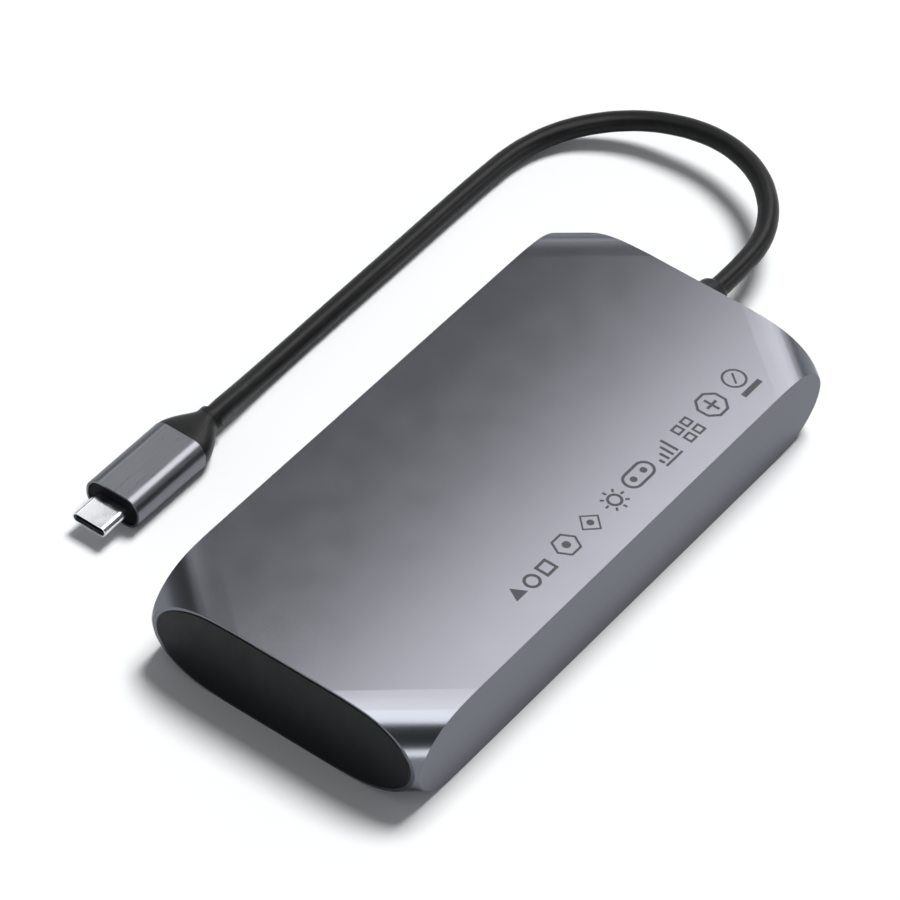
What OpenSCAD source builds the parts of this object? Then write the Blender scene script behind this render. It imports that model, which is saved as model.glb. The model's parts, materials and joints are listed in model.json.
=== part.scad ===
// Multi-port USB hub with a captive lead, built as separate pieces in millimetres.
// The hub lies with its marked base upward. Origin: middle of the face it rests on.
// X runs along the body toward the lead, Y toward the ports, Z is up.

/* [Body] */
// Length of the body
body_l = 136; // [132:1:146]
// Width of the body
body_w = 63.3; // [62:0.1:68]
// Thickness of the body
body_h = 20; // [19.9:0.1:22]
// Wall thickness of the aluminium shell
wall = 1.4; // [1.2:0.1:1.6]
// Width of the metal rim left around each end cap
rim = 0.6; // [0.5:0.05:1]
// Depth of the end caps inside the metal rim
cap_t = 2; // [1.6:0.1:2.6]
// How far each end cap stands out of the metal rim
cap_proud = 0.2; // [0.1:0.1:0.6]

/* [Corners] */
// Plan angle of the rounded corner cuts
cut_angle = 41; // [38:0.1:43]
// How far the cut clears the square corner, along the long side
cut_clear = 0.6; // [0.4:0.1:1.5]
// Radius of the nose of the corner cut
nose_r = 9.75; // [9:0.05:9.8]
// Radius of the shallow part that runs into the flat face
face_r = 35.7; // [25:0.1:45]

/* [Ports] */
// Free gap around each socket in the shell wall
port_gap = 0.2; // [0.15:0.05:0.3]
// How far the sockets sit below the side face
port_recess = 0.4; // [0.2:0.1:0.8]

/* [Circuit board] */
// Height of the face that carries the sockets
pcb_z = 13.2; // [13:0.1:13.6]
// Thickness of the board
pcb_t = 1.6; // [1.2:0.1:1.8]

/* [Lead] */
// Diameter of the lead
cord_d = 4.5; // [4:0.1:4.6]
// How far the strain relief stands out of the end cap
relief_l = 9; // [8:0.5:9.5]
// Radius of the strain relief at its outer end
relief_r = 3.5; // [3.2:0.1:4]

/* [Plug] */
// Length of the aluminium sleeve
sleeve_l = 21.1; // [18:0.1:24]
// Width of the sleeve
sleeve_w = 13.1; // [12.4:0.1:15]
// Height of the sleeve
sleeve_h = 7.5; // [7.2:0.1:8.4]
// Corner radius of the sleeve
sleeve_r = 3.3; // [2.5:0.1:3.5]
// Wall thickness of the sleeve
sleeve_t = 0.45; // [0.35:0.05:0.45]
// How far the front plate sits below the sleeve edge
plate_x = 0.1; // [0:0.1:0.6]
// Length of the plug shell outside the front plate
tip_l = 7.4; // [6.6:0.1:8]

/* [Hidden] */
$fn = 96;
e = 0.01;
hl = body_l / 2;
hw = body_w / 2;
mid = body_h / 2;
// distance from the centre to the nose of a corner cut
nose_d = (hl - cut_clear) * cos(cut_angle) + hw * sin(cut_angle);
face_y = hw - port_recess;
face_x = hl + cap_proud;

// socket positions along the long face
usbc_x = [48, 34];
usba_x = [17.5, -1];
hdmi_x = -19.5;
lan_x = -42;
led_x = 41;

// board outline and fixing points
pcb_x0 = -58;
pcb_x1 = 58;
pcb_y0 = -26;
pcb_y1 = 28.4;
posts = [[-54, -22], [-54, 12], [54, -22], [54, 14]];
post_d = 5.2;
tray_t = 1.2;
tray_z = wall + 0.1;
floor_z = tray_z + tray_t;

// lead: points of the centre line, in mm
lead_y = 0.5;
relief_x = hl + relief_l;
plug_y = 59.8;
plug_z = sleeve_h / 2;
plug_x = -44;
bell_l = 10;
bell_x = plug_x + sleeve_l + bell_l;
cord_r = cord_d / 2;
route = [
    [relief_x, lead_y, mid], [relief_x + 5, lead_y, mid], [relief_x + 10, 0.6, 10],
    [94.7, 1.5, 10], [101.7, 4.1, 10], [108, 8.6, 9.9], [112.7, 14.2, 9.7],
    [115.5, 20.3, 9.4], [116.8, 26.2, 8.9], [116.8, 31.9, 8.3], [115.9, 37.3, 7.5],
    [114.4, 42.4, 6.5], [112, 47.1, 5.5], [108.9, 51.2, 4.6], [105.2, 54.8, 3.7],
    [100.8, 57.6, 3], [95.6, 59.6, 2.5], [89.6, 60.7, 2.3], [83, 61, 2.3],
    [70, 61.1, 2.3], [55, 61, 2.3], [40, 60.9, 2.3], [25, 60.8, 2.3],
    [10, 60.6, 2.4], [0, 60.3, 2.9], [-6, 60, 3.5], [-9, plug_y + 0.1, plug_z],
    [bell_x, plug_y, plug_z]
];

// ---------- shared shapes ----------

// rectangle with round corners, centred
module round_rect(w, h, r) {
    square([w - 2 * r, h], center = true);
    square([w, h - 2 * r], center = true);
    for (sx = [-1, 1], sy = [-1, 1]) translate([sx * (w / 2 - r), sy * (h / 2 - r)]) circle(r);
}

// flat outline with two half-round ends, centred
module slot(w, h) {
    square([w - h, h], center = true);
    for (s = [-1, 1]) translate([s * (w - h) / 2, 0]) circle(h / 2);
}

// extrude a flat outline along +X, outline width on Y and height on Z
module along_x(x, len) {
    translate([x, 0, 0]) rotate([90, 0, 90]) linear_extrude(len) children();
}

// extrude a flat outline along -Y from the plane y, outline width on X and height on Z
module along_y(y, len) {
    translate([0, y, 0]) rotate([90, 0, 0]) linear_extrude(len) children();
}

// box from one corner to the opposite one
module box(a, b) {
    translate(a) cube([b[0] - a[0], b[1] - a[1], b[2] - a[2]]);
}

// cross-section of a corner cut, inset by t: a nose arc that runs into a shallow arc.
// It is a little thicker than the body, so the shallow arc crosses the flat face cleanly.
module cut_section(t) {
    r1 = nose_r - t;
    r2 = face_r - t;
    b = mid - t + 0.0006;
    a = r1 + sqrt((2 * r2 - r1 - b) * (b - r1));
    c1 = [nose_d - t - r1, 0];
    c2 = [nose_d - t - a, b - r2];
    join = c2 + r2 * (c1 - c2) / norm(c1 - c2);
    for (sx = [0, 1]) mirror([sx, 0]) {
        translate(c1) circle(r1);
        intersection() {
            translate(c2) circle(r2);
            translate([c2[0], -c2[1]]) circle(r2);
            translate([0, -b]) square([join[0], 2 * b]);
        }
    }
    square([2 * c2[0], 2 * b], center = true);
}

// the body form, inset by t on every long face
module slab(t) {
    intersection() {
        box([-hl - 1, -hw + t, t], [hl + 1, hw - t, body_h - t]);
        cut_bar(cut_angle, t);
        cut_bar(-cut_angle, t);
    }
}

module cut_bar(a, t) {
    translate([0, 0, mid]) rotate([0, 0, a]) rotate([90, 0, 0])
        linear_extrude(2 * body_l, center = true) cut_section(t);
}

// outline of a socket opening, given as [centre x, centre z, width, height, corner radius]
function usba(i) = [usba_x[i], pcb_z - 2.9, 13.2, 5.8, 0.6];
function usbc(i) = [usbc_x[i], pcb_z - 1.65, 8.9, 3.3, 1.6];
hdmi = [hdmi_x, pcb_z - 2.8, 15, 5.6, 0.6];
lan = [lan_x, 9.8, 16, 11.6, 0.4];

module port_outline(p, grow) {
    translate([p[0], p[1]]) round_rect(p[2] + 2 * grow, p[3] + 2 * grow, p[4] + grow);
}

// ---------- enclosure ----------

module shell() color("#6f7379") {
    difference() {
        intersection() {
            slab(0);
            box([-hl, -hw, 0], [hl, hw, body_h]);
        }
        slab(wall);
        for (s = [-1, 1]) intersection() {
            slab(rim);
            translate([s * (hl - cap_t / 2), 0, mid]) cube([cap_t + e, body_w, body_h], center = true);
        }
        along_y(hw + 1, wall + 2) {
            for (i = [0, 1]) {
                port_outline(usba(i), port_gap);
                port_outline(usbc(i), port_gap);
            }
            port_outline(hdmi, port_gap);
            port_outline(lan, port_gap);
            translate([led_x, pcb_z - 1.65]) circle(0.8);
        }
    }
}

// plate that closes an end, with a skirt that plugs into the shell
module cap_plate() {
    x1 = hl - cap_t;
    intersection() {
        slab(rim + 0.05);
        box([x1, -hw, 0], [face_x, hw, body_h]);
    }
    difference() {
        intersection() {
            slab(wall + 0.1);
            box([x1 - 3, -hw, 0], [x1, hw, body_h]);
        }
        intersection() {
            slab(wall + 1.3);
            box([x1 - 4, -hw, 0], [x1, hw, body_h]);
        }
    }
}

module end_cap() color("#1d1f22") mirror([1, 0, 0]) cap_plate();

module cable_cap() color("#1d1f22") difference() {
    cap_plate();
    translate([hl - cap_t - 5, lead_y, mid]) rotate([0, 90, 0]) cylinder(r = 4.4, h = cap_t + cap_proud + 6);
}

// ---------- inner frame and board ----------

module tray() color("#2a2c30") difference() {
    union() {
        box([-60, -27, tray_z], [60, 24, floor_z]);
        for (p = posts) translate([p[0], p[1], tray_z]) cylinder(d = post_d, h = pcb_z - tray_z);
        for (x = [-60, 59]) box([x, -20, floor_z], [x + 1, 8, floor_z + 3]);
        box([-50, -27, floor_z], [50, -26, floor_z + 3]);
    }
    for (p = posts) translate([p[0], p[1], pcb_z - 7]) cylinder(d = 1.6, h = 8);
    for (x = [-36, -12, 12, 36]) translate([x, -8, tray_z - 1]) cylinder(d = 9, h = 4);
}

module circuit_board() color("#1f5a3c") difference() {
    translate([0, 0, pcb_z]) linear_extrude(pcb_t) difference() {
        polygon([[pcb_x0, pcb_y0 + 4], [pcb_x0 + 4, pcb_y0], [pcb_x1 - 4, pcb_y0], [pcb_x1, pcb_y0 + 4],
                 [pcb_x1, pcb_y1 - 8], [pcb_x1 - 4, pcb_y1], [pcb_x0 + 4, pcb_y1], [pcb_x0, pcb_y1 - 8]]);
        // the network jack sits sunk into the board edge
        translate([lan_x - 8.2, 13]) square([16.4, 20]);
        for (p = posts) translate(p) circle(d = 2.4);
    }
}

module board_screws() color("#b8babd") for (p = posts) translate([p[0], p[1], pcb_z + pcb_t]) {
    difference() {
        cylinder(d = 3.8, h = 1.2);
        for (a = [0, 90]) rotate(a) translate([0, 0, 1]) cube([2.2, 0.5, 1], center = true);
    }
    translate([0, 0, -pcb_t - 5]) cylinder(d = 1.6, h = pcb_t + 5 + e);
}

module insulating_film() color("#d9b45a") difference() {
    box([-52, -24, 18.3], [52, 24, 18.45]);
    for (x = [-40, 0, 40]) translate([x, 0, 18]) cylinder(d = 5, h = 1);
}

// square chip hanging below the board, with a rounded index dimple
module chip(x, y, w, l, h) {
    difference() {
        box([x - w / 2, y - l / 2, pcb_z - h], [x + w / 2, y + l / 2, pcb_z]);
        translate([x - w / 2 + 1, y - l / 2 + 1, pcb_z - h - 0.1]) cylinder(d = 0.6, h = 0.2);
    }
}

module hub_chip() color("#17181a") chip(8, -2, 10, 10, 0.9);
module video_chip() color("#17181a") chip(-18, -2, 9, 9, 0.9);
module power_chip() color("#17181a") chip(34, -2, 7, 7, 0.8);
module network_chip() color("#17181a") chip(-36, -6, 8, 8, 0.9);
module small_chips() color("#17181a") {
    chip(22, -14, 5, 4, 1.4);
    chip(-4, -14, 5, 4, 1.4);
    chip(44, 6, 3, 3, 0.9);
    chip(-26, -16, 3, 3, 0.9);
}

module crystals() color("#c9cccf") for (x = [-6, -28, 20])
    translate([x, 6, pcb_z - 0.8]) linear_extrude(0.8) round_rect(3.2, 2.5, 0.3);

module inductors() color("#3a3b3e") for (x = [40, 47, 30])
    translate([x, -14, pcb_z - 2.4]) linear_extrude(2.4) round_rect(5, 5, 0.8);

module bulk_capacitors() color("#a9acb0") for (p = [[46, -6], [24, 4], [-46, -18]])
    translate([p[0], p[1], 0]) {
        translate([0, 0, pcb_z - 5.4]) cylinder(d = 5, h = 5.4 - 0.8);
        translate([0, 0, pcb_z - 0.8]) linear_extrude(0.8) round_rect(5.4, 5.4, 0.4);
    }

module passives() color("#b59a6a") {
    for (i = [0:6]) box([-30 + 8 * i, 10.5, pcb_z - 0.6], [-29 + 8 * i, 12.5, pcb_z]);
    for (i = [0:7]) box([-46 + 11 * i, -22.5, pcb_z - 0.6], [-44 + 11 * i, -21.5, pcb_z]);
    for (i = [0:3]) box([1 + 4 * i, -9.5, pcb_z - 0.6], [2 + 4 * i, -8.5, pcb_z]);
}

module network_transformer() color("#202124") {
    box([-52, -4, pcb_z - 4], [-43, 9, pcb_z - 0.3]);
    for (i = [0:7], x = [-53, -43]) box([x, -3 + 1.5 * i, pcb_z - 0.3], [x + 1, -2.5 + 1.5 * i, pcb_z]);
}

module heat_spreader() color("#c2c4c6") difference() {
    box([-24, -8.5, 10.5], [14, 4.5, 11.3]);
    for (x = [-10, -4]) translate([x, -2, 10]) cylinder(d = 3, h = 2);
}

module thermal_pads() color("#7d93a8") {
    box([3.5, -6.5, 11.3], [12.5, 2.5, pcb_z - 0.9]);
    box([-22, -6, 11.3], [-14, 2, pcb_z - 0.9]);
}

// ---------- sockets ----------

// folded metal tube of a socket, open at the front
module socket_shell(p, depth, t) {
    difference() {
        along_y(face_y, depth) port_outline(p, 0);
        along_y(face_y + 1, depth + 1 - t) port_outline(p, -t);
    }
}

module usb_a_shell(i) color("#c3c6c9") socket_shell(usba(i), 13.8, 0.34);

// rear block and tongue of the wide socket
module usb_a_core(i) {
    p = usba(i);
    back = face_y - 13.8 + 0.34;
    color("#1b1c1f") {
        box([p[0] - 5.9, back, p[1] - 2.4], [p[0] + 5.9, back + 4, p[1] + 2.4]);
        box([p[0] - 5.5, back + 4 - e, p[1] + 0.3], [p[0] + 5.5, back + 12.4, p[1] + 2.1]);
    }
}

module usb_a_contacts(i) {
    p = usba(i);
    back = face_y - 13.8 + 0.34;
    color("#d2a94a") for (dx = [-3.5, -1, 1, 3.5])
        box([p[0] + dx - 0.5, back + 4, p[1] + 0.12], [p[0] + dx + 0.5, back + 11.6, p[1] + 0.3]);
}

module hdmi_shell() color("#c3c6c9") socket_shell(hdmi, 11.5, 0.3);

module hdmi_core() color("#1b1c1f") {
    back = face_y - 11.5 + 0.3;
    box([hdmi_x - 7, back, hdmi[1] - 2.3], [hdmi_x + 7, back + 3, hdmi[1] + 2.3]);
    box([hdmi_x - 6.2, back + 3 - e, hdmi[1] + 0.1], [hdmi_x + 6.2, back + 9.5, hdmi[1] + 1.2]);
}

module hdmi_contacts() color("#d2a94a") {
    back = face_y - 11.5 + 0.3;
    for (i = [0:8]) box([hdmi_x - 4.25 + i, back + 3, hdmi[1] - 0.05],
                        [hdmi_x - 3.75 + i, back + 9, hdmi[1] + 0.1]);
}

module usb_c_shell(i) color("#c3c6c9") socket_shell(usbc(i), 8.4, 0.3);

// rear block, tongue and mid plate of the small oval socket
module usb_c_core(i) color("#1b1c1f") {
    p = usbc(i);
    back = face_y - 8.4 + 0.3;
    along_y(back + 2.2, 2.2) port_outline(p, -0.3);
    box([p[0] - 3.3, back + 2.2 - e, p[1] - 0.35], [p[0] + 3.3, back + 7.3, p[1] + 0.35]);
}

lan_in_w = 11.8;
lan_in_h = 8.2;
lan_in_z = 5.2;

// space for the network plug, with the latch groove above it, cut to the given depths
module lan_opening(depth, latch_depth) {
    top = lan_in_z + lan_in_h;
    box([lan_x - lan_in_w / 2, face_y - depth, lan_in_z], [lan_x + lan_in_w / 2, face_y + 1, top]);
    box([lan_x - 3.2, face_y - latch_depth, top - e], [lan_x + 3.2, face_y + 1, top + 1]);
}

module lan_housing() color("#1b1c1f") difference() {
    box([lan_x - 7.7, face_y - 15.5, lan[1] - 5.5], [lan_x + 7.7, face_y - 0.3, lan[1] + 5.5]);
    lan_opening(12.5, 8);
}

module lan_shield() color("#c3c6c9") difference() {
    along_y(face_y, 15.8) port_outline(lan, 0);
    box([lan_x - 7.7, face_y - 15.5, lan[1] - 5.5], [lan_x + 7.7, face_y - 0.3, lan[1] + 5.5]);
    lan_opening(1, 1);
}

// eight slanted spring wires in the network jack
module lan_contacts() color("#d2a94a") for (i = [0:7])
    translate([lan_x - 3.57 + 1.02 * i, face_y - 11.5, lan_in_z]) rotate([-22, 0, 0])
        translate([-0.2, 0, 0.15]) cube([0.4, 5.5, 0.3]);

module status_led() color("#e8e6d8") box([led_x - 0.8, 26.2, pcb_z - 2.4], [led_x + 0.8, 27.6, pcb_z]);

module light_pipe() color("#e9edf0") translate([led_x, face_y, pcb_z - 1.65]) rotate([90, 0, 0])
    cylinder(d = 1.4, h = face_y - 27.6);

// ---------- lead, hub end ----------

// moulded strain relief: flange behind the cap, neck through it and a tapered nose outside
module strain_relief() color("#17181a") translate([0, lead_y, mid]) rotate([0, 90, 0]) difference() {
    rotate_extrude() polygon([[0, hl - 7], [5.4, hl - 7], [5.4, hl - 5.2], [4.3, hl - 5.2], [4.3, face_x],
                              [4.9, face_x], [4.9, face_x + 1.2], [relief_r, relief_x - 0.6],
                              [relief_r - 0.4, relief_x], [0, relief_x]]);
    // two relief slots across the tapered nose
    for (a = [0, 180]) rotate(a) translate([cord_r + 0.5, -4, face_x + 3]) cube([4, 8, 0.9]);
}

module cable_clamp() color("#b8babd") translate([hl - 14, lead_y, mid]) rotate([0, 90, 0]) difference() {
    cylinder(r = cord_r + 0.9, h = 7);
    translate([0, 0, -1]) cylinder(r = cord_r, h = 9);
    translate([-6, -0.3, -1]) cube([6, 0.6, 9]);
}

// wire bundle from the clamp up to the header on the board
module lead_wires() color("#2b3a63") {
    translate([hl - 20, lead_y, mid]) rotate([0, 90, 0]) cylinder(r = cord_r - 0.05, h = 13);
    for (i = [0:4]) translate([hl - 27, lead_y - 1.6 + 0.8 * i, mid]) rotate([0, 90, 0])
        cylinder(d = 0.7, h = 7 + e);
}

module wire_header() color("#e4e2da") difference() {
    box([hl - 32, lead_y - 4, 8.4], [hl - 27, lead_y + 4, pcb_z]);
    for (i = [0:4]) translate([hl - 28, lead_y - 1.6 + 0.8 * i, mid]) rotate([0, 90, 0])
        cylinder(d = 0.5, h = 2);
}

// ---------- lead, free length ----------

// smooth curve through the route: two spans between neighbouring points
function at(i) = route[max(0, min(len(route) - 1, i))];
function curve_mid(i) = (9 * (at(i) + at(i + 1)) - at(i - 1) - at(i + 2)) / 16;
path = [for (i = [0:len(route) - 1]) each (i < len(route) - 1 && i > 2 ? [at(i), curve_mid(i)] : [at(i)])];
sides = 12;
function unit(v) = v / norm(v);
function dir(i) = i == 0 || i == len(path) - 1 ? [i == 0 ? 1 : -1, 0, 0] : unit(path[i + 1] - path[i - 1]);
// ring of points square to the path, with one direction held level
function ring(i) = let (t = dir(i), s = unit(cross([0, 0, 1], t)), u = cross(t, s))
    [for (k = [0:sides - 1]) let (a = 360 * k / sides + 15) path[i] + cord_r * (cos(a) * s + sin(a) * u)];

module cord() color("#1b1c1e") {
    n = len(path);
    pts = [for (i = [0:n - 1]) each ring(i)];
    skin = [for (i = [0:n - 2], k = [0:sides - 1]) let (a = i * sides, m = (k + 1) % sides)
        [a + k, a + m, a + sides + m, a + sides + k]];
    ends = [[for (k = [sides - 1:-1:0]) k], [for (k = [0:sides - 1]) (n - 1) * sides + k]];
    polyhedron(pts, [for (f = concat(skin, ends)) [for (k = [len(f) - 1:-1:0]) f[k]]], convexity = 4);
}

// ---------- lead, plug end ----------

module at_plug() {
    translate([plug_x, plug_y, plug_z]) children();
}

// bell-shaped strain relief: rings shrink from the sleeve outline to a round neck
bell_n = 16;
bell_k = 48;
bell_tip = cord_r + 0.6;
collar_l = 1.4;
function bell_mix(u) = pow(1 - pow(u, 1.85), 1.35);
function bell_ring(j) = let (u = j / bell_n, m = bell_mix(u), n = 2 + 0.7 * m,
    w = bell_tip + (sleeve_w / 2 - bell_tip) * m, h = bell_tip + (sleeve_h / 2 - bell_tip) * m)
    [for (k = [0:bell_k - 1]) let (a = 360 * k / bell_k, c = cos(a), s = sin(a))
        [sleeve_l + u * (bell_l - collar_l), w * sign(c) * pow(abs(c), 2 / n),
         h * sign(s) * pow(abs(s), 2 / n)]];

module plug_relief() color("#17181a") at_plug() {
    pts = [for (j = [0:bell_n]) each bell_ring(j)];
    skin = [for (j = [0:bell_n - 1], k = [0:bell_k - 1]) let (a = j * bell_k, m = (k + 1) % bell_k)
        [a + k, a + bell_k + k, a + bell_k + m, a + m]];
    ends = [[for (k = [0:bell_k - 1]) k], [for (k = [bell_k - 1:-1:0]) bell_n * bell_k + k]];
    polyhedron(pts, concat(skin, ends), convexity = 2);
    // plain collar where the lead enters, and a spigot held inside the sleeve
    along_x(sleeve_l + bell_l - collar_l - e, collar_l + e) circle(bell_tip + 0.05);
    along_x(sleeve_l - 3, 3 + e) round_rect(sleeve_w - 2, sleeve_h - 2, sleeve_r - 1);
}

module plug_sleeve() color("#74787e") at_plug() difference() {
    along_x(0, sleeve_l) round_rect(sleeve_w, sleeve_h, sleeve_r);
    along_x(-1, sleeve_l + 2)
        round_rect(sleeve_w - 2 * sleeve_t, sleeve_h - 2 * sleeve_t, sleeve_r - sleeve_t);
}

module plug_front() color("#101113") at_plug() difference() {
    along_x(plate_x, 1.6) round_rect(sleeve_w - 1, sleeve_h - 1, sleeve_r - 0.5);
    along_x(-1, 4) slot(8.35, 2.5);
}

module plug_shell() color("#c9ccd0") at_plug() difference() {
    along_x(plate_x - tip_l, tip_l + 6) slot(8.25, 2.4);
    along_x(plate_x - tip_l - 1, tip_l + 6) slot(7.65, 1.8);
}

// insulator inside the shell, with the slot that takes the tongue of a socket
module plug_insert() color("#141517") at_plug() difference() {
    along_x(plate_x - tip_l + 0.35, tip_l + 4.6) slot(7.6, 1.75);
    along_x(plate_x - tip_l - 1, tip_l + 0.2) round_rect(6.9, 0.8, 0.3);
}

module plug_contacts() color("#d2a94a") at_plug() for (i = [0:7], s = [-1, 1])
    box([plate_x - tip_l + 1, -2.9 + 0.8 * i - 0.15, s > 0 ? 0.3 : -0.4],
        [plate_x - 1.2, -2.9 + 0.8 * i + 0.35, s > 0 ? 0.4 : -0.3]);

module plug_board() color("#1f5a3c") at_plug() box([plate_x + 6.1, -4.5, -0.4], [sleeve_l - 4, 4.5, 0.4]);

// moulded block that fills the sleeve around the small board
module plug_filler() color("#26282b") at_plug() difference() {
    along_x(plate_x + 1.7, sleeve_l - 3.1 - plate_x - 1.7)
        round_rect(sleeve_w - 1.6, sleeve_h - 1.6, sleeve_r - 0.8);
    along_x(plate_x, 6.05) slot(8.35, 2.5);
    box([plate_x + 6, -4.55, -0.45], [sleeve_l - 3.9, 4.55, 0.45]);
}

// ---------- assembly ----------

shell();
end_cap();
cable_cap();
tray();
circuit_board();
board_screws();
insulating_film();
hub_chip();
video_chip();
power_chip();
network_chip();
small_chips();
crystals();
inductors();
bulk_capacitors();
passives();
network_transformer();
heat_spreader();
thermal_pads();
usb_a_shell(0);  // usb_a_shell_1
usb_a_core(0);  // usb_a_core_1
usb_a_contacts(0);  // usb_a_contacts_1
usb_a_shell(1);  // usb_a_shell_2
usb_a_core(1);  // usb_a_core_2
usb_a_contacts(1);  // usb_a_contacts_2
hdmi_shell();
hdmi_core();
hdmi_contacts();
usb_c_shell(0);  // usb_c_shell_1
usb_c_core(0);  // usb_c_core_1
usb_c_shell(1);  // usb_c_shell_2
usb_c_core(1);  // usb_c_core_2
lan_housing();
lan_shield();
lan_contacts();
status_led();
light_pipe();
strain_relief();
cable_clamp();
lead_wires();
wire_header();
cord();
plug_relief();
plug_sleeve();
plug_front();
plug_shell();
plug_insert();
plug_contacts();
plug_board();
plug_filler();
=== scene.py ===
import json
import math
import bpy
from mathutils import Matrix, Vector


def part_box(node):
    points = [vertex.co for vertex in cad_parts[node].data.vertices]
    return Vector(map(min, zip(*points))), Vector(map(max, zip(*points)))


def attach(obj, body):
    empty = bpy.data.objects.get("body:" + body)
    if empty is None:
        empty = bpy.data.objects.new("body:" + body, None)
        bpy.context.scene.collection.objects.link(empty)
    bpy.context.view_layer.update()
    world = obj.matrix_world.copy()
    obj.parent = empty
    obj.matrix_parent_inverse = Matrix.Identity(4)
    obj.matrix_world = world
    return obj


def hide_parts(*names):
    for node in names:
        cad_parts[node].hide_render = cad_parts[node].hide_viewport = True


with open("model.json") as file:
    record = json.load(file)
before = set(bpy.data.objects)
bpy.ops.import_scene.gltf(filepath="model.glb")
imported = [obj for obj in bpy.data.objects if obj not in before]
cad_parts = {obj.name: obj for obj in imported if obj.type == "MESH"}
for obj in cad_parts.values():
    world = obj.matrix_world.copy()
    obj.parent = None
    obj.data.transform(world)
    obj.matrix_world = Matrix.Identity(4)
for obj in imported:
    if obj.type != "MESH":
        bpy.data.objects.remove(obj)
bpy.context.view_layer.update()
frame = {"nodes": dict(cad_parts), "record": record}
MM = 0.001
NODES = frame["nodes"]
scene = bpy.context.scene


# ---------- camera ----------

VIEW_AZIMUTH = math.radians(32.388)
VIEW_ELEVATION = math.radians(44.968)
VIEW_ROLL = math.radians(5.534)
VIEW_DISTANCE = 1.076275
VIEW_TARGET = Vector((0.013856, 0.020186, 0.0))
LENS = 216.345
SENSOR = 36.0


def make_camera():
    """Camera at the photograph's angle, with its small roll about the line of sight."""
    flat = math.cos(VIEW_ELEVATION)
    back = Vector((-math.cos(VIEW_AZIMUTH) * flat, -math.sin(VIEW_AZIMUTH) * flat,
                   math.sin(VIEW_ELEVATION)))
    level = (-back).cross(Vector((0, 0, 1))).normalized()
    upright = level.cross(-back)
    right = level * math.cos(VIEW_ROLL) + upright * math.sin(VIEW_ROLL)
    up = upright * math.cos(VIEW_ROLL) - level * math.sin(VIEW_ROLL)
    data = bpy.data.cameras.new("camera")
    data.lens = LENS
    data.sensor_width = SENSOR
    camera = bpy.data.objects.new("camera", data)
    scene.collection.objects.link(camera)
    turn = Matrix((right, up, back)).transposed().to_4x4()
    camera.matrix_world = Matrix.Translation(VIEW_TARGET + back * VIEW_DISTANCE) @ turn
    scene.camera = camera


make_camera()


# ---------- materials ----------

def fill_ramp(ramp, stops):
    """Set a colour ramp's stops, given as (position, colour)."""
    while len(ramp.elements) < len(stops):
        ramp.elements.new(0.5)
    for element, (position, colour) in zip(ramp.elements, stops):
        element.position = position
        element.color = (*colour, 1.0)


class Finish:
    """A Principled material built from procedural nodes in object space."""

    def __init__(self, name, metallic=0.0, roughness=0.5, **sockets):
        self.material = bpy.data.materials.new(name)
        self.material.use_nodes = True
        self.tree = self.material.node_tree
        self.tree.nodes.clear()
        out = self.node("ShaderNodeOutputMaterial")
        self.shader = self.node("ShaderNodeBsdfPrincipled")
        self.link(self.shader.outputs["BSDF"], out.inputs["Surface"])
        self.shader.inputs["Metallic"].default_value = metallic
        self.shader.inputs["Roughness"].default_value = roughness
        for socket, value in sockets.items():
            self.shader.inputs[socket.replace("_", " ")].default_value = value
        self.place = self.node("ShaderNodeTexCoord").outputs["Object"]

    def node(self, kind):
        return self.tree.nodes.new(kind)

    def link(self, source, target):
        self.tree.links.new(source, target)

    def stretched(self, x, y, z):
        """Object coordinates scaled by axis, for grain that runs one way."""
        mapping = self.node("ShaderNodeMapping")
        mapping.inputs["Scale"].default_value = (x, y, z)
        self.link(self.place, mapping.inputs["Vector"])
        return mapping.outputs["Vector"]

    def noise(self, size, detail=3.0, where=None):
        """Noise with features of about the given size in metres."""
        made = self.node("ShaderNodeTexNoise")
        made.inputs["Scale"].default_value = 1.0 / size
        made.inputs["Detail"].default_value = detail
        self.link(where or self.place, made.inputs["Vector"])
        return made.outputs["Fac"]

    def spots(self, size):
        """Distance to scattered points about the given size apart, in cells."""
        made = self.node("ShaderNodeTexVoronoi")
        made.inputs["Scale"].default_value = 1.0 / size
        self.link(self.place, made.inputs["Vector"])
        return made.outputs["Distance"]

    def ramp(self, value, stops):
        """Colour ramp over a value; stops are (position, colour)."""
        made = self.node("ShaderNodeValToRGB")
        fill_ramp(made.color_ramp, stops)
        self.link(value, made.inputs["Fac"])
        return made.outputs["Color"]

    def spread(self, value, low, high, from_low=0.3, from_high=0.7):
        """Map a value onto another range."""
        made = self.node("ShaderNodeMapRange")
        made.inputs["From Min"].default_value = from_low
        made.inputs["From Max"].default_value = from_high
        made.inputs["To Min"].default_value = low
        made.inputs["To Max"].default_value = high
        self.link(value, made.inputs["Value"])
        return made.outputs["Result"]

    def colour(self, source):
        self.link(source, self.shader.inputs["Base Color"])

    def rough(self, source):
        self.link(source, self.shader.inputs["Roughness"])

    def bump(self, height, depth, strength):
        """Add a bump of the given depth in metres on top of any earlier one."""
        made = self.node("ShaderNodeBump")
        made.inputs["Distance"].default_value = depth
        made.inputs["Strength"].default_value = strength
        normal = self.shader.inputs["Normal"]
        if normal.is_linked:
            self.link(normal.links[0].from_socket, made.inputs["Normal"])
        self.link(height, made.inputs["Height"])
        self.link(made.outputs["Normal"], normal)


def shade(colour, factor):
    return tuple(channel * factor for channel in colour)


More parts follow.
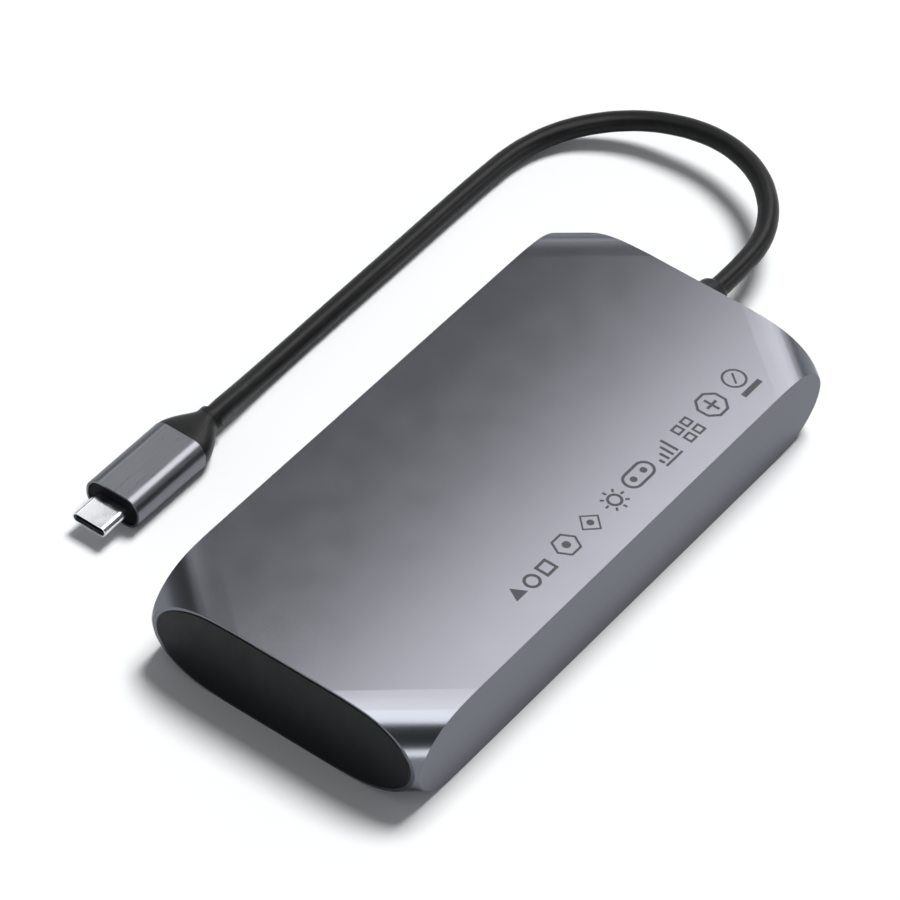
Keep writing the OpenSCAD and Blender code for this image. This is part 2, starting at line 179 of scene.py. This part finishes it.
def blasted_aluminium():
    """Bead-blasted, anodised space grey, with a faint clouding and a fine even grain."""
    tint = (0.148, 0.156, 0.174)
    f = Finish("grey_aluminium", metallic=1.0, Specular_Tint=(0.70, 0.70, 0.72, 1.0))
    cloud = f.noise(26 * MM, 4.0)
    grain = f.noise(0.16 * MM, 2.0)
    f.colour(f.ramp(cloud, [(0.25, shade(tint, 0.985)), (0.75, shade(tint, 1.015))]))
    f.rough(f.spread(f.noise(7 * MM, 5.0), 0.215, 0.235))
    f.bump(grain, 0.0003 * MM, 0.4)
    return f.material


def moulded(name, colour, roughness, grain=0.25 * MM, depth=0.004 * MM, swirl=9 * MM, **sockets):
    """Spark-eroded moulded plastic: fine pebble grain, slight tone changes and rubbed spots."""
    f = Finish(name, **sockets)
    f.colour(f.ramp(f.noise(swirl, 4.0), [(0.3, shade(colour, 0.82)), (0.7, shade(colour, 1.2))]))
    f.rough(f.spread(f.noise(swirl * 0.4, 6.0), roughness - 0.06, roughness + 0.06))
    f.bump(f.spots(grain), depth, 0.6)
    f.bump(f.noise(swirl * 0.7, 2.0), depth * 2.0, 0.4)
    return f.material


def rubber(name, colour, roughness):
    """Satin elastomer jacket with a soft bloom and a slightly uneven surface."""
    f = Finish(name, Specular_IOR_Level=0.16)
    bloom = f.noise(3.5 * MM, 5.0)
    f.colour(f.ramp(bloom, [(0.3, shade(colour, 0.85)), (0.7, shade(colour, 1.25))]))
    f.rough(f.spread(f.noise(1.2 * MM, 5.0), roughness - 0.05, roughness + 0.07))
    f.bump(f.noise(0.12 * MM, 3.0), 0.0025 * MM, 0.5)
    f.bump(f.noise(2.2 * MM, 2.0), 0.006 * MM, 0.35)
    return f.material


def plated(name, colour, roughness, along):
    """Plated or polished sheet metal with drawn lines, handling haze and fine pits."""
    f = Finish(name, metallic=1.0)
    lines = f.noise(0.5 * MM, 3.0, f.stretched(*along))
    haze = f.noise(2.4 * MM, 4.0)
    f.colour(f.ramp(haze, [(0.3, shade(colour, 0.93)), (0.7, shade(colour, 1.05))]))
    f.rough(f.spread(haze, roughness - 0.04, roughness + 0.07))
    f.bump(lines, 0.0012 * MM, 0.5)
    f.bump(f.noise(0.09 * MM, 2.0), 0.0006 * MM, 0.4)
    return f.material


def laminate():
    """Solder resist over copper: traces show as faint raised lines under the green."""
    f = Finish("board", roughness=0.35, Coat_Weight=0.25, Coat_Roughness=0.12)
    weave = f.noise(0.6 * MM, 2.0, f.stretched(1.0, 6.0, 1.0))
    copper = f.noise(1.8 * MM, 0.0, f.stretched(0.25, 2.5, 1.0))
    f.colour(f.ramp(copper, [(0.46, (0.012, 0.085, 0.038)), (0.54, (0.025, 0.15, 0.07))]))
    f.rough(f.spread(weave, 0.3, 0.42))
    f.bump(copper, 0.02 * MM, 0.5)
    f.bump(weave, 0.004 * MM, 0.4)
    return f.material


def amber_film():
    """Thin amber insulating film with a soft waviness."""
    f = Finish("film", roughness=0.22, Coat_Weight=0.4, Coat_Roughness=0.1)
    f.colour(f.ramp(f.noise(6 * MM, 3.0), [(0.3, (0.42, 0.22, 0.03)), (0.7, (0.62, 0.36, 0.06))]))
    f.bump(f.noise(11 * MM, 2.0), 0.05 * MM, 0.5)
    f.bump(f.noise(0.4 * MM, 2.0), 0.002 * MM, 0.4)
    return f.material


def fired_chip_parts():
    """Tan ceramic capacitors, speckled as fired."""
    f = Finish("chip_parts", roughness=0.45)
    f.colour(f.ramp(f.spots(0.12 * MM), [(0.1, (0.30, 0.19, 0.10)), (0.6, (0.48, 0.34, 0.2))]))
    f.rough(f.spread(f.noise(0.3 * MM), 0.38, 0.52))
    f.bump(f.noise(0.08 * MM, 2.0), 0.006 * MM, 0.5)
    return f.material


def cable_wires():
    """Coloured insulation that changes from wire to wire across the bundle."""
    f = Finish("wire", roughness=0.4)
    split = f.node("ShaderNodeSeparateXYZ")
    f.link(f.place, split.inputs["Vector"])
    across = f.spread(split.outputs["Y"], 0.0, 1.0, -1.5 * MM, 2.5 * MM)
    bands = [(0.0, (0.45, 0.02, 0.02)), (0.2, (0.02, 0.25, 0.05)), (0.4, (0.6, 0.6, 0.58)),
             (0.6, (0.03, 0.06, 0.3)), (0.8, (0.02, 0.02, 0.02))]
    f.colour(f.ramp(across, bands))
    f.rough(f.spread(f.noise(0.5 * MM), 0.34, 0.48))
    f.bump(f.noise(0.2 * MM, 2.0), 0.003 * MM, 0.4)
    return f.material


def milky_lens(name, colour):
    """Diffusing plastic of the light pipe and lamp, with a light frosting."""
    f = Finish(name, roughness=0.25, IOR=1.49, Transmission_Weight=0.35)
    f.colour(f.ramp(f.noise(0.5 * MM, 3.0), [(0.3, shade(colour, 0.92)), (0.7, colour)]))
    f.rough(f.spread(f.noise(0.2 * MM), 0.2, 0.36))
    f.bump(f.noise(0.1 * MM, 2.0), 0.003 * MM, 0.4)
    return f.material


def etched_ink():
    """Laser-darkened aluminium of the marks: matt, with a fine raster."""
    f = Finish("etched", metallic=0.25, Specular_IOR_Level=0.3)
    raster = f.noise(0.08 * MM, 1.0, f.stretched(1.0, 4.0, 1.0))
    f.colour(f.ramp(raster, [(0.3, (0.032, 0.034, 0.039)), (0.7, (0.050, 0.052, 0.058))]))
    f.rough(f.spread(f.noise(0.4 * MM), 0.42, 0.55))
    f.bump(raster, 0.002 * MM, 0.4)
    return f.material


def floor_paper():
    """Pale seamless paper."""
    f = Finish("floor_paper", roughness=0.8, Specular_IOR_Level=0.1)
    f.colour(f.ramp(f.noise(60 * MM, 3.0), [(0.3, (0.86, 0.87, 0.88)), (0.7, (0.88, 0.885, 0.89))]))
    f.bump(f.noise(0.7 * MM, 3.0), 0.005 * MM, 0.3)
    return f.material


BLACK = (0.016, 0.017, 0.019)
FINISHES = {
    "grey_aluminium": blasted_aluminium(),
    "cap_plastic": moulded("cap_plastic", (0.0034, 0.0037, 0.0046), 0.42, depth=0.003 * MM,
                            Specular_IOR_Level=0.18),
    "frame_plastic": moulded("frame_plastic", (0.04, 0.042, 0.045), 0.5),
    "board": laminate(),
    "steel": plated("steel", (0.55, 0.55, 0.57), 0.24, (1.0, 8.0, 1.0)),
    "nickel": plated("nickel", (0.74, 0.75, 0.77), 0.15, (0.2, 3.0, 3.0)),
    "film": amber_film(),
    "chip": moulded("chip", (0.02, 0.02, 0.022), 0.55, 0.1 * MM, 0.004 * MM, 3 * MM),
    "solderable": plated("solderable", (0.6, 0.6, 0.61), 0.32, (3.0, 3.0, 0.5)),
    "ferrite": moulded("ferrite", (0.07, 0.07, 0.075), 0.7, 0.15 * MM, 0.008 * MM, 2 * MM),
    "chip_parts": fired_chip_parts(),
    "spreader": plated("spreader", (0.62, 0.62, 0.63), 0.3, (0.3, 5.0, 1.0)),
    "pad": moulded("pad", (0.2, 0.28, 0.38), 0.75, 0.3 * MM, 0.01 * MM, 4 * MM),
    "socket_plastic": moulded("socket_plastic", BLACK, 0.4, 0.2 * MM, 0.003 * MM, 5 * MM),
    "gold": plated("gold", (0.75, 0.52, 0.2), 0.18, (4.0, 0.5, 4.0)),
    "lens": milky_lens("lens", (0.86, 0.89, 0.92)),
    "led": milky_lens("led", (0.9, 0.87, 0.7)),
    "lead_rubber": rubber("lead_rubber", (0.006, 0.0063, 0.0068), 0.36),
    "wire": cable_wires(),
    "header": moulded("header", (0.7, 0.67, 0.58), 0.45, 0.2 * MM, 0.003 * MM, 5 * MM),
    "plug_plastic": moulded("plug_plastic", (0.004, 0.004, 0.0045), 0.55, 0.15 * MM, 0.002 * MM, 4 * MM,
                             Specular_IOR_Level=0.08),
}


def dress_cad():
    """Give every CAD node the finish of its slot in the record."""
    for part in frame["record"]["subparts"]:
        mesh = NODES[part["node"]].data
        mesh.materials.clear()
        mesh.materials.append(FINISHES[part["material_slot"]])


SHARP_EDGE = math.radians(50.0)


def break_edges(node, width):
    """Round the sharp edges of a CAD node very slightly, as tumbling or blasting does."""
    bevel = NODES[node].modifiers.new("broken_edges", "BEVEL")
    bevel.width = width
    bevel.segments = 3
    bevel.limit_method = "ANGLE"
    bevel.angle_limit = SHARP_EDGE
    bevel.harden_normals = True


def brushed_sleeve():
    """Anodised plug sleeve: a little lighter and softer than the body, with lines along it."""
    f = Finish("sleeve_aluminium", metallic=1.0, Specular_Tint=(0.75, 0.75, 0.77, 1.0))
    lines = f.noise(0.35 * MM, 4.0, f.stretched(0.06, 1.0, 1.0))
    f.colour(f.ramp(lines, [(0.3, (0.165, 0.172, 0.190)), (0.7, (0.182, 0.190, 0.208))]))
    f.rough(f.spread(lines, 0.27, 0.34))
    f.bump(lines, 0.0012 * MM, 0.5)
    return f.material


# ---------- lead ----------

LEAD_DIAMETER = 4.5 * MM
LEAD_ROUTE = [
    (77, 0.5, 10), (82, 0.5, 10), (87, 0.6, 10), (94.7, 1.5, 10), (101.7, 4.1, 10),
    (108, 8.6, 9.9), (112.7, 14.2, 9.7), (115.5, 20.3, 9.4), (116.8, 26.2, 8.9),
    (116.8, 31.9, 8.3), (115.9, 37.3, 7.5), (114.4, 42.4, 6.5), (112, 47.1, 5.5),
    (108.9, 51.2, 4.6), (105.2, 54.8, 3.7), (100.8, 57.6, 3), (95.6, 59.6, 2.5),
    (89.6, 60.7, 2.3), (83, 61, 2.3), (70, 61.1, 2.3), (55, 61, 2.3), (40, 60.9, 2.3),
    (25, 60.8, 2.3), (10, 60.6, 2.4), (0, 60.3, 2.9), (-6, 60, 3.5), (-9, 59.9, 3.75),
    (-12.9, 59.8, 3.75),
]


def make_lead():
    """The captive lead as a round curve through its route."""
    data = bpy.data.curves.new("lead", "CURVE")
    data.dimensions = "3D"
    data.resolution_u = 10
    data.bevel_depth = LEAD_DIAMETER / 2
    data.bevel_resolution = 8
    data.use_fill_caps = True
    line = data.splines.new("BEZIER")
    line.bezier_points.add(len(LEAD_ROUTE) - 1)
    for knot, place in zip(line.bezier_points, LEAD_ROUTE):
        knot.co = Vector(place) * MM
        knot.handle_left_type = "AUTO"
        knot.handle_right_type = "AUTO"
    lead = bpy.data.objects.new("lead", data)
    scene.collection.objects.link(lead)
    data.materials.append(FINISHES["lead_rubber"])
    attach(lead, "root")
    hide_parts("cord")


make_lead()


# ---------- etched marks on the base ----------

def ring(x, y, radius, sides=40, turn=0.0):
    """Closed outline of a circle or regular polygon."""
    steps = [turn + 2 * math.pi * k / sides for k in range(sides)]
    return [(x + radius * math.cos(a), y + radius * math.sin(a)) for a in steps]


def bar(x, y, width, height, turn=0.0):
    """Closed outline of a rectangle about its middle."""
    corners = [(-0.5, -0.5), (0.5, -0.5), (0.5, 0.5), (-0.5, 0.5)]
    c, s = math.cos(turn), math.sin(turn)
    return [(x + u * width * c - v * height * s, y + u * width * s + v * height * c) for u, v in corners]


def frame_ring(x, y, radius, stroke, sides=40, turn=0.0):
    return [ring(x, y, radius, sides, turn), ring(x, y, radius - stroke, sides, turn)]


def frame_bar(x, y, width, height, stroke):
    return [bar(x, y, width, height), bar(x, y, width - 2 * stroke, height - 2 * stroke)]


def capsule(x, y, width, height):
    """Closed outline with two half-round ends."""
    r = height / 2
    right = [(x + width / 2 - r + r * math.cos(a), y + r * math.sin(a))
             for a in [math.radians(-90 + 12 * k) for k in range(16)]]
    return right + [(2 * x - u, 2 * y - v) for u, v in right]


MARK_GROW = 1.28
MARK_ROW = -22.9


def placed(x, outlines, grow=MARK_GROW):
    """Outlines drawn about the origin, enlarged and moved to their place in the row."""
    return [[(x + u * grow, MARK_ROW + v * grow) for u, v in outline] for outline in outlines]


def rayed_ring():
    reach = 2.5
    turns = [math.pi * k / 4 for k in range(8)]
    rays = [bar(reach * math.cos(a), reach * math.sin(a), 0.9, 0.5, a) for a in turns]
    return frame_ring(0, 0, 1.7, 0.6) + rays


def rising_bars():
    heights = [1.2 + 0.9 * k for k in range(4)]
    bars = [bar(1.4 * k - 2.1, h / 2 - 1.6, 0.6, h) for k, h in enumerate(heights)]
    return bars + [bar(0, -2.3, 5.0, 0.5)]


def four_tiles():
    middles = [(dx, dy) for dx in (-1.3, 1.3) for dy in (-1.3, 1.3)]
    return [outline for dx, dy in middles for outline in frame_bar(dx, dy, 2.0, 2.0, 0.45)]


def mark_outlines():
    """Plain geometric marks in a row, in mm on the base."""
    marks = placed(-25.6, [ring(0, -0.2, 1.9, 3, math.pi / 2)], 1.1)
    marks += placed(-21.2, frame_ring(0, -0.3, 1.7, 0.6), 1.1)
    marks += placed(-16.6, frame_bar(0, -0.3, 3.2, 3.2, 0.6), 1.1)
    # hexagon with a dot, tilted square with a dot
    marks += placed(-9.2, frame_ring(0, 0.2, 2.7, 0.5, 6) + [ring(0, 0.2, 0.8)], 1.15)
    marks += placed(-1.4, frame_ring(0, 0.1, 2.5, 0.5, 4) + [ring(0, 0.1, 0.7)], 1.1)
    marks += placed(6.6, rayed_ring(), 1.0)
    # rounded frame with two dots
    marks += placed(15.2, [capsule(0, 0.3, 6.6, 3.6), capsule(0, 0.3, 5.6, 2.6)])
    marks += placed(15.2, [ring(-1.3, 0.3, 0.6), ring(1.3, 0.3, 0.6)])
    marks += placed(23.4, rising_bars(), 1.08)
    marks += placed(31.7, four_tiles(), 1.15)
    # octagon with a cross
    marks += placed(40.4, frame_ring(0, 0.3, 2.8, 0.5, 8, math.pi / 8))
    marks += placed(40.4, [bar(0, 0.3, 2.4, 0.5), bar(0, 1.15, 0.5, 1.2), bar(0, -0.55, 0.5, 1.2)])
    # ring with a slanted stroke, over a solid bar
    marks += placed(49.4, frame_ring(0, 0.9, 2.1, 0.4) + [bar(0, 0.9, 0.35, 2.4, -0.7)])
    marks += placed(49.4, [bar(0, -2.4, 4.6, 1.0)])
    return marks


def make_marks():
    """Fill the outlines as one thin layer on the base face."""
    data = bpy.data.curves.new("etched_marks", "CURVE")
    data.dimensions = "2D"
    data.fill_mode = "BOTH"
    data.extrude = 0.01 * MM
    for outline in mark_outlines():
        line = data.splines.new("POLY")
        line.points.add(len(outline) - 1)
        line.use_cyclic_u = True
        for knot, (x, y) in zip(line.points, outline):
            knot.co = (x * MM, y * MM, 0.0, 1.0)
    flat = bpy.data.objects.new("etched_marks_outline", data)
    scene.collection.objects.link(flat)
    bpy.context.view_layer.update()
    evaluated = flat.evaluated_get(bpy.context.evaluated_depsgraph_get())
    mesh = bpy.data.meshes.new_from_object(evaluated)
    bpy.data.objects.remove(flat)
    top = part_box("shell")[1].z
    mesh.transform(Matrix.Translation((0, 0, top)))
    mesh.materials.clear()
    mesh.materials.append(etched_ink())
    marks = bpy.data.objects.new("etched_marks", mesh)
    scene.collection.objects.link(marks)
    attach(marks, "root")


make_marks()
dress_cad()
NODES["plug_sleeve"].data.materials[0] = brushed_sleeve()
break_edges("shell", 0.08 * MM)
break_edges("end_cap", 0.15 * MM)
break_edges("cable_cap", 0.15 * MM)
break_edges("plug_sleeve", 0.1 * MM)


# ---------- stage and light ----------

def make_floor():
    data = bpy.data.meshes.new("floor")
    reach = 3.0
    corners = [(-reach, -reach, 0), (reach, -reach, 0), (reach, reach, 0), (-reach, reach, 0)]
    data.from_pydata(corners, [], [(0, 1, 2, 3)])
    data.materials.append(floor_paper())
    floor = bpy.data.objects.new("floor", data)
    scene.collection.objects.link(floor)


def aim(light, place):
    """Put a light somewhere, facing the origin."""
    light.location = place
    light.rotation_euler = (-Vector(place)).to_track_quat("-Z", "Y").to_euler()


def add_light(name, kind, energy, **settings):
    data = bpy.data.lights.new(name, kind)
    data.energy = energy
    for key, value in settings.items():
        setattr(data, key, value)
    light = bpy.data.objects.new(name, data)
    scene.collection.objects.link(light)
    return light


KEY_FROM = (0.50, 0.04, 1.0)
KEY_STRENGTH = 3.35
KEY_SPREAD = math.radians(22)
CEILING_HEIGHT = 0.35
OVER_Y = (-0.107, 0.155)
SLIGHTLY_WARM = (1.0, 0.955, 0.95)
# softboxes around the hub, facing it: name, place, size, energy
SIDE_BOXES = [
    ("low_side", (0.45, -0.53, 0.28), (0.5, 0.12), 1.0),
    ("far_end", (0.994, 0.463, 0.488), (0.95, 0.30), 1.15),
    ("far_side", (0.384, 0.722, 0.736), (0.35, 0.25), 0.09),
    ("low_near", (-0.62, -0.69, 0.30), (0.6, 0.26), 2.1),
]
# brightness of the room against the sine of the elevation
ROOM_GLOW = [(0.0, 1.0), (0.12, 0.95), (0.3, 0.40), (0.55, 0.22), (0.75, 0.11), (1.0, 0.22)]
ROOM_TINT = (0.97, 0.99, 1.02)


def softbox(name, width, depth, energy, **settings):
    """Rectangular light that shows in reflections but does not brighten the paper."""
    box = add_light(name, "AREA", energy, shape="RECTANGLE", size=width, size_y=depth, **settings)
    box.visible_diffuse = False
    return box


def ceiling(name, x, y, energy, colour=(1.0, 1.0, 1.0)):
    """Softbox that faces straight down, given by its extent in x and y."""
    box = softbox(name, x[1] - x[0], y[1] - y[0], energy, color=colour)
    box.location = ((x[0] + x[1]) / 2, (y[0] + y[1]) / 2, CEILING_HEIGHT)


def make_lights():
    """Soft key from above the lead end, and softboxes that the metal mirrors."""
    key = add_light("key", "SUN", KEY_STRENGTH, angle=KEY_SPREAD)
    aim(key, KEY_FROM)
    key.visible_glossy = False

    # above: the reflected long edge falls across the base face, and the near end passes overhead
    ceiling("over_near", (-0.065, 0.08), OVER_Y, 0.61)
    ceiling("over", (0.08, 0.62), OVER_Y, 1.88, SLIGHTLY_WARM)
    ceiling("over_plug", (0.12, 0.32), (0.264, 0.42), 0.175)

    for name, place, size, energy in SIDE_BOXES:
        aim(softbox(name, *size, energy), place)


def make_world():
    """Pale room: bright at the horizon, darker at mid height and overhead."""
    world = bpy.data.worlds.new("world")
    scene.world = world
    world.use_nodes = True
    tree = world.node_tree
    background = tree.nodes["Background"]
    place = tree.nodes.new("ShaderNodeTexCoord")
    split = tree.nodes.new("ShaderNodeSeparateXYZ")
    ramp = tree.nodes.new("ShaderNodeValToRGB")
    tree.links.new(place.outputs["Generated"], split.inputs["Vector"])
    tree.links.new(split.outputs["Z"], ramp.inputs["Fac"])
    tree.links.new(ramp.outputs["Color"], background.inputs["Color"])
    fill_ramp(ramp.color_ramp, [(position, shade(ROOM_TINT, glow)) for position, glow in ROOM_GLOW])
    background.inputs["Strength"].default_value = 1.0


make_floor()
make_lights()
make_world()
scene.view_settings.view_transform = "Standard"
